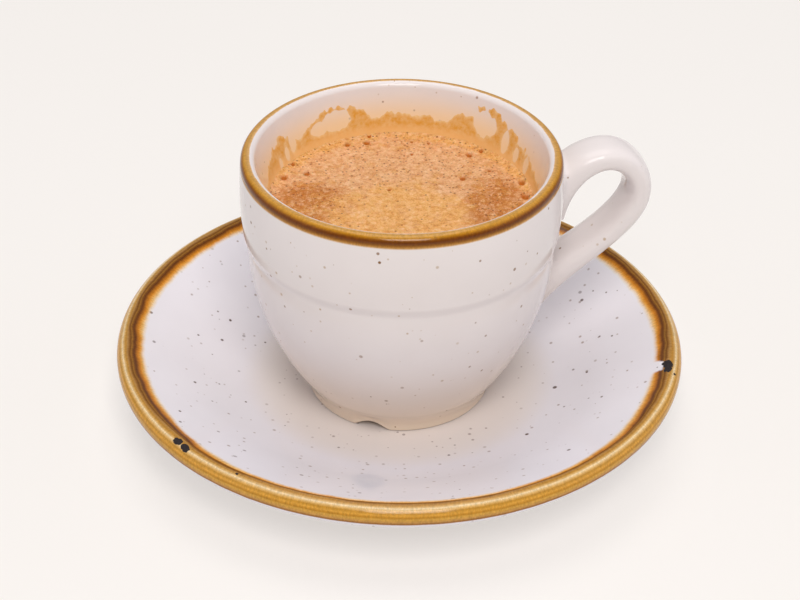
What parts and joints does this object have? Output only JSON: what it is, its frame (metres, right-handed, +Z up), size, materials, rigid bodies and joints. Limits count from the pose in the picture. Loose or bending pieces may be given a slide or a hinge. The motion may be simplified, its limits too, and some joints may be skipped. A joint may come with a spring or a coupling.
{
  "type": "espresso shot",
  "caption": "Espresso with a bubbly crema in a round speckled stoneware cup with a loop handle and a brown-edged rim, standing on its matching saucer.",
  "frame": {"origin": "middle of the saucer's underside, at table level", "axes": "+Z up, +X along the cup's handle, +Y to the left of the handle seen from above"},
  "size_m": [0.118, 0.118, 0.0605],
  "materials": {
    "saucer_glaze": "gloss glaze over stoneware",
    "cup_glaze": "gloss glaze over stoneware",
    "crema": "moist foam"
  },
  "bodies": {
    "root": {"saucer": "saucer_glaze", "cup": "cup_glaze", "espresso": "crema"}
  },
  "joints": []
}
